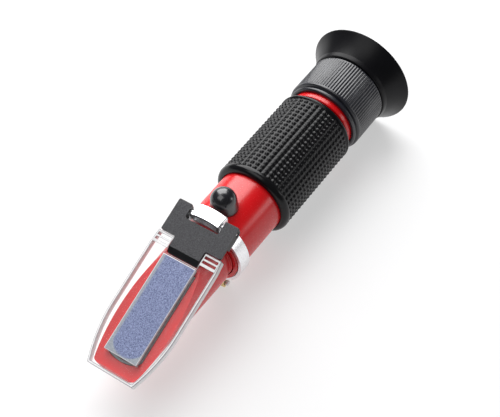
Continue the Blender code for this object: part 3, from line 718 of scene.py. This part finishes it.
def build_cover():
    outer = plate_outline(0.0, EAR_REAR, closed=False)
    inner = plate_outline(PLATE_WALL, EAR_REAR, closed=False)
    painted_edge_finishes = [ACRYLIC_WALL_REFLECTION, ACRYLIC_EDGE_SHADE]
    # The rim's walls take the whitish painted-reflection finish and its bevels the dark painted-shade line
    rim = wall_strip("cover_rim", outer, inner, FLANGE_LOW, SHEET_TOP, SLOPE_FRAME, painted_edge_finishes)
    soften(rim, 0.2, 2, 35, 1)
    mount(rim, "cover", "clear_acrylic", "cover_plate")

    within = plate_outline(PLATE_WALL + TINY, EAR_REAR)
    sheet = slab("cover_sheet", within, SHEET_LOW, SHEET_TOP, SLOPE_FRAME, [ACRYLIC, ACRYLIC_WALL_REFLECTION])
    room = rectangle(0.0, TONGUE_FRONT + 0.3, -TONGUE_HALF - 0.3, TONGUE_HALF + 0.3)
    carve(sheet, slab("room", room, -3.0, 3.0, SLOPE_FRAME))
    seat = rectangle(PAD_REAR - TINY, PAD_FRONT + TINY, -PAD_HALF - TINY, PAD_HALF + TINY)
    carve(sheet, slab("seat", seat, -3.0, 3.0, SLOPE_FRAME))
    # Faces off the slope, and the bevels below, take the whitish finish: painted reflection on the sheet's
    # edges
    finish_sides(sheet, 1, 0.2)
    soften(sheet, 0.12, 2, 35, 1)
    mount(sheet, "cover", "clear_acrylic", "cover_plate")

    for name, side in (("left_ear_ribs", -1), ("right_ear_ribs", 1)):
        edges = sorted((side * EAR_INNER, side * (PLATE_HALF - 0.7)))
        patch = rectangle(EAR_REAR + 0.1, EAR_FRONT, *edges)
        # The ear ribs take the whitish painted-reflection finish, and their bevels the dark painted-shade
        # line
        ear = slab(name, patch, SHEET_TOP + TINY, EAR_TOP - 0.25, SLOPE_FRAME, painted_edge_finishes)
        for start in (EAR_REAR + 0.95, EAR_REAR + 2.65):
            slot = rectangle(start, start + 0.95, edges[0] + 0.5, edges[1] - 0.5)
            carve(ear, slab("slot", slot, SHEET_LOW, EAR_TOP, SLOPE_FRAME))
        # The ear's bevels take the dark painted-shade edge line
        soften(ear, 0.1, 2, 35, 1)
        mount(ear, "cover", "clear_acrylic", "cover_plate")

    pad_shape = rounded(rectangle(PAD_REAR, PAD_FRONT, -PAD_HALF, PAD_HALF), 0.3)
    pad = slab("pressing_pad", pad_shape, PAD_LOW, PAD_TOP, SLOPE_FRAME, [PAD, PAD_EDGE_HIGHLIGHT, PAD_SIDE])
    finish_sides(pad, 2)
    # The pad's bevels take the pale painted-highlight finish
    soften(pad, 0.3, 2, 35, 1)
    mount(pad, "cover", "clear_acrylic", "cover_plate")

    outline = [(BLOCK_REAR, BLOCK_HALF), (BLOCK_FRONT, BLOCK_HALF), (BLOCK_FRONT, TONGUE_HALF)]
    outline += [(TONGUE_FRONT, TONGUE_HALF), (TONGUE_FRONT, -TONGUE_HALF), (BLOCK_FRONT, -TONGUE_HALF)]
    outline += [(BLOCK_FRONT, -BLOCK_HALF), (BLOCK_REAR, -BLOCK_HALF), (BLOCK_REAR, -NOTCH_HALF)]
    outline += [(NOTCH_DEPTH, -NOTCH_HALF), (NOTCH_DEPTH, NOTCH_HALF), (BLOCK_REAR, NOTCH_HALF)]
    blacks = [BLOCK, BLOCK_SHADED_SIDE]
    hinge = slab("hinge_moulding", rounded(outline, 0.7), -LUG_R - 1.0, LUG_R, SLOPE_FRAME, blacks)
    side = arc((0.0, 0.0), LUG_R, 270, 180, 14) + [(BLOCK_REAR, LUG_R - 0.9)]
    side += arc((BLOCK_REAR + 0.35, LUG_R - 0.35), 0.35, 180, 90, 5)
    side += [(TONGUE_BEVEL, LUG_R), (TONGUE_FRONT, BLOCK_UNDER), (BLOCK_STEP, BLOCK_UNDER)]
    side += [(BLOCK_STEP, -LUG_R)]
    carve(hinge, slab("side", side, -BLOCK_HALF - 1.0, BLOCK_HALF + 1.0, SLOPE_SIDE), "INTERSECT")
    carve(hinge, rod("bore", PIN_R + 0.25, -BEYOND, BEYOND, across(PIN_X, PIN_Z), 32))
    # Faces off the slope, and the rounded edges below, take the darker finish: painted shade on surfaces
    # turned from the light
    finish_sides(hinge, 1)
    soften(hinge, 0.35, 3, 30, 1)
    mount(hinge, "cover", "black_plastic", "hinge_block")


def build_cap():
    dome = [(CAP_CENTRE_Z + b, a) for a, b in arc((0, 0), CAP_R, 0, 90, 28)]
    dome[-1] = (CAP_CENTRE_Z + CAP_R, 0.0)
    shape = [(17.2, 0.0), (17.2, BUSH_R + GAP), (11.0, BUSH_R + GAP), (11.0, CAP_SKIRT_R)]
    shape += [(12.6, CAP_SKIRT_R), (14.2, CAP_SKIRT_R - 0.2)]
    cap = lathe("cap_dome", shape + dome, upright(SCREW_X), MEDIUM, [CAP])
    carve(cap, rod("saddle", TUBE_R + GAP, -5.0, 30.0, ALONG_X, MEDIUM))
    soften(cap, 0.2, 3, 40)
    mount(cap, "cap", "gloss_black_rubber", "screw_cap")


# ------------------------------------------------------------------ eyepiece


def build_eyepiece():
    front = [(FOCUS_FRONT, FOCUS_SKIRT_R)] + arc((FOCUS_FRONT - 0.9, 13.9), 0.9, 0, 140, 12)
    front += [(-52.45, 14.42), (-52.62, 14.8)]
    front += [(-52.72, 15.2), (-52.95, 15.46), (-53.25, 15.58)]
    rear = [(-69.25, 15.56), (-69.5, 15.4), (-69.6, 15.1), (-69.6, FOCUS_NECK_R), (-73.0, FOCUS_NECK_R)]
    rear += [(-73.0, FOCUS_HOLE_R), (-66.0, FOCUS_HOLE_R), (-66.0, EYE_TUBE_R + GAP)]
    rear += [(-56.0, EYE_TUBE_R + GAP), (-56.0, FOCUS_SKIRT_R)]
    ribbed = [(RIB_FRONT, FOCUS_R - TINY), (RIB_FRONT - 0.35, FOCUS_R), (RIB_REAR + 0.35, FOCUS_R)]
    ribbed += [(RIB_REAR, FOCUS_R - TINY)]

    def ribs(_height, radius, turn):
        if radius != FOCUS_R:
            return radius
        wave = 0.5 + 0.5 * math.cos(turn * RIBS)
        return FOCUS_R - RIB_DEPTH * wave ** 1.5

    sides = RIBS * RIB_STEPS
    ring = lathe("focus_sleeve", front + ribbed + rear, sides=sides, finishes=[MOULDING], shape=ribs)
    shade(ring, 60)
    mount(ring, "focus", "black_moulding", "focus_ring")

    cup = [(-69.9, 12.9), (-69.9, 15.4), (-70.15, 15.9), (-70.9, 16.1), (-71.9, 16.3), (-73.2, 16.9)]
    cup += [(-75.0, 17.85), (-77.0, 19.1), (-78.6, 20.3), (-79.5, 21.1), (-79.85, 21.2)]
    cup += [(-80.0, 21.0), (-79.95, 20.65), (-79.4, 20.0)]
    cup += [(-78.0, 18.6), (-76.5, 17.1), (-75.4, 15.4), (-74.7, 13.6), (-74.3, 12.0), (-74.3, 8.2)]
    cup += [(-73.3, 8.2), (-73.3, 12.9)]
    flare = lathe("eyecup_flare", rounded(cup, 0.35, 3), finishes=[CUP])
    shade(flare, 50)
    mount(flare, "focus", "black_rubber", "eyecup")

    lip = EYE_TUBE_REAR + 1.0
    tube = [(EYE_TUBE_REAR, EYE_STOP_R), (EYE_TUBE_REAR, EYE_TUBE_R), (EYE_TUBE_FRONT, EYE_TUBE_R)]
    tube += [(EYE_TUBE_FRONT, EYE_TUBE_BORE), (lip, EYE_TUBE_BORE), (lip, EYE_STOP_R)]
    cell = lathe("eyepiece_cell_turned", rounded(tube, 0.15, 3), sides=MEDIUM, finishes=[BLACK_ALUMINIUM])
    mount(cell, "eyepiece_cell", "black_aluminium", "eyepiece_tube")

    for name, node, x0, x1, rear_bulge, front_bulge in (
        ("eye_lens_polished", "eye_lens", -64.4, -62.4, 0.9, 0.9),
        ("field_lens_polished", "field_lens", -50.1, -48.3, 0.8, 0.0),
    ):
        parts = [i / LENS_STEPS for i in range(LENS_STEPS + 1)]
        ahead = [(x1 + front_bulge * (1 - t ** 2), LENS_R * t) for t in parts]
        behind = [(x0 - rear_bulge * (1 - t ** 2), LENS_R * t) for t in parts[::-1]]
        lens = lathe(name, ahead + behind, sides=MEDIUM, finishes=[GLASS])
        mount(lens, "eyepiece_cell", "optical_glass", node)


def finish_inner_parts():
    """The frame's own inner parts keep their shape and get a real finish."""
    finishes = {
        "optical_glass": GLASS,
        "black_aluminium": BLACK_ALUMINIUM,
        "brass": BRASS,
        "bimetal": BIMETAL,
        "polished_steel": STEEL,
        "plain_steel": PLAIN_STEEL,
        "grey_sealant": SEALANT,
        "red_anodised": RED,
        "black_rubber": GRIP,
        "gloss_black_rubber": CAP,
        "black_plastic": BLOCK,
        "black_moulding": MOULDING,
        "clear_acrylic": ACRYLIC,
    }
    for name, obj in NODES.items():
        obj.data.materials.clear()
        obj.data.materials.append(finishes[SLOT_OF[name]])
        edges = obj.modifiers.new("edges", "BEVEL")
        edges.width = 0.05 * MM
        edges.segments = 2
        edges.limit_method = "ANGLE"
        edges.angle_limit = math.radians(40)


# --------------------------------------------------------------------- stage


def build_stage():
    made, nodes, links, shader = material("pale_floor")
    place = nodes.new("ShaderNodeTexCoord").outputs["Object"]
    broad = noise(nodes, links, place, 2.0)
    pale = ramp(nodes, links, broad, (0.40, 0.40, 0.404), (0.42, 0.42, 0.422))
    links.new(pale, shader.inputs["Base Color"])
    shader.inputs["Roughness"].default_value = 0.9
    shader.inputs["Specular IOR Level"].default_value = 0.0
    shader.inputs["Emission Color"].default_value = (1.0, 1.0, 1.0, 1.0)
    shader.inputs["Emission Strength"].default_value = 0.52
    work = bmesh.new()
    bmesh.ops.create_grid(work, x_segments=8, y_segments=8, size=6.0)
    mesh = bpy.data.meshes.new("floor")
    work.to_mesh(mesh)
    work.free()
    floor = link("floor", mesh, [made])

    world = bpy.data.worlds.new("studio")
    bpy.context.scene.world = world
    world.use_nodes = True
    back = world.node_tree.nodes["Background"]
    back.inputs["Color"].default_value = (1.0, 1.0, 1.0, 1.0)
    back.inputs["Strength"].default_value = 0.12


def softbox(name, azimuth, elevation, distance, width, height, power, aim=(0.0, 0.0, 20.0)):
    """A rectangular light seen from the object at an azimuth from +X and a height."""
    a, e = math.radians(azimuth), math.radians(elevation)
    away = Vector((math.cos(e) * math.cos(a), math.cos(e) * math.sin(a), math.sin(e)))
    light = bpy.data.lights.new(name, "AREA")
    light.shape = "RECTANGLE"
    light.size = width
    light.size_y = height
    light.energy = power
    obj = bpy.data.objects.new(name, light)
    bpy.context.scene.collection.objects.link(obj)
    target = Vector(aim) * MM
    obj.location = target + away * distance
    obj.rotation_euler = (-away).to_track_quat("-Z", "Y").to_euler()


def build_lights():
    softbox("upper_left_box", -136.0, 46.0, 0.8, 0.85, 0.85, 12.5)
    softbox("right_box", 121.0, 14.0, 0.8, 0.2, 0.2, 0.4)
    softbox("front_fill", -20.0, 62.0, 1.0, 0.7, 0.7, 3.0)


def build_camera():
    """Looks down on the instrument from in front of its prism end."""
    azimuth, elevation, roll = math.radians(37.61), math.radians(50.60), math.radians(-3.878)
    target, distance = Vector((-0.00262, 0.0, 0.01754)), 0.4547
    back = Vector((math.cos(elevation) * math.cos(azimuth), math.cos(elevation) * math.sin(azimuth),
                   math.sin(elevation)))
    right = (-back).cross(Vector((0, 0, 1))).normalized()
    up = right.cross(-back)
    x = right * math.cos(roll) + up * math.sin(roll)
    y = -right * math.sin(roll) + up * math.cos(roll)
    lens = bpy.data.cameras.new("camera")
    lens.lens = 90.0
    lens.sensor_width = 36.0
    lens.clip_start = 0.01
    camera = bpy.data.objects.new("camera", lens)
    bpy.context.scene.collection.objects.link(camera)
    place = Matrix((x, y, back)).transposed().to_4x4()
    place.translation = target + back * distance
    camera.matrix_world = place
    bpy.context.scene.camera = camera
    bpy.context.scene.view_settings.view_transform = "Standard"


build_tube()
build_grip()
build_prism_box()
build_clamp()
build_cover()
build_cap()
build_eyepiece()
finish_inner_parts()
build_stage()
build_lights()
build_camera()
